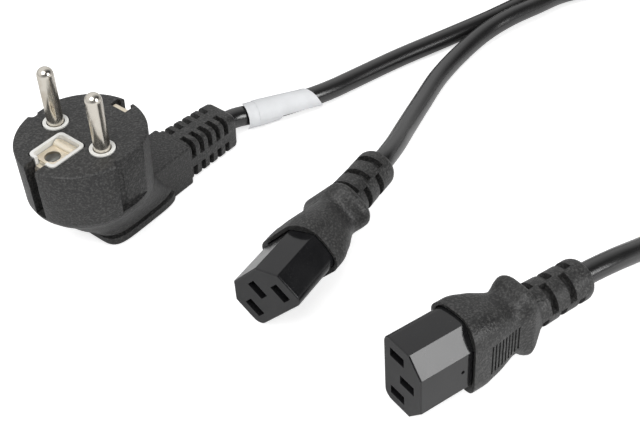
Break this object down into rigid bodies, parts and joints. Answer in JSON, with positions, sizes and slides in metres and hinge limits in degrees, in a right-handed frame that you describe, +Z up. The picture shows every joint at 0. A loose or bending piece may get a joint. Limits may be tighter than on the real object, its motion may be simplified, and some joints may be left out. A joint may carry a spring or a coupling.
{
  "type": "power cord splitter",
  "caption": "Y-shaped mains power cord: an angled earthed plug with round pins on a cord that divides into branches ending in appliance connectors.",
  "frame": {"origin": "on the supporting surface below the point midway between the plug's two pins, on the plug's flat back", "axes": "+Z up, along the pins; +X the way the cord leaves the plug; Y along the line of the pins"},
  "size_m": [0.3547, 0.1993, 0.0584],
  "materials": {
    "moulding": "fine matte grain",
    "white_insert": "plain",
    "nickel": "nickel plated, drawn",
    "carrier": "semi gloss",
    "contact": "plain",
    "cord_jacket": "satin",
    "tie": "plain",
    "paper": "coated paper, blank"
  },
  "bodies": {
    "root": {"plug_body": "moulding", "plug_pin_insert": "white_insert", "plug_pin_left": "nickel", "plug_pin_right": "nickel", "plug_earth_plate": "nickel", "plug_earth_clip": "nickel", "connector_1_body": "moulding", "connector_1_carrier": "carrier", "connector_1_contact_live": "contact", "connector_1_contact_neutral": "contact", "connector_1_contact_earth": "contact", "connector_2_body": "moulding", "connector_2_carrier": "carrier", "connector_2_contact_live": "contact", "connector_2_contact_neutral": "contact", "connector_2_contact_earth": "contact", "junction_body": "moulding", "trunk_cord": "cord_jacket", "trunk_coil": "cord_jacket", "trunk_tail": "cord_jacket", "coil_tie": "tie", "cord_label": "paper", "branch_cord_1": "cord_jacket", "branch_cord_2": "cord_jacket"}
  },
  "joints": []
}
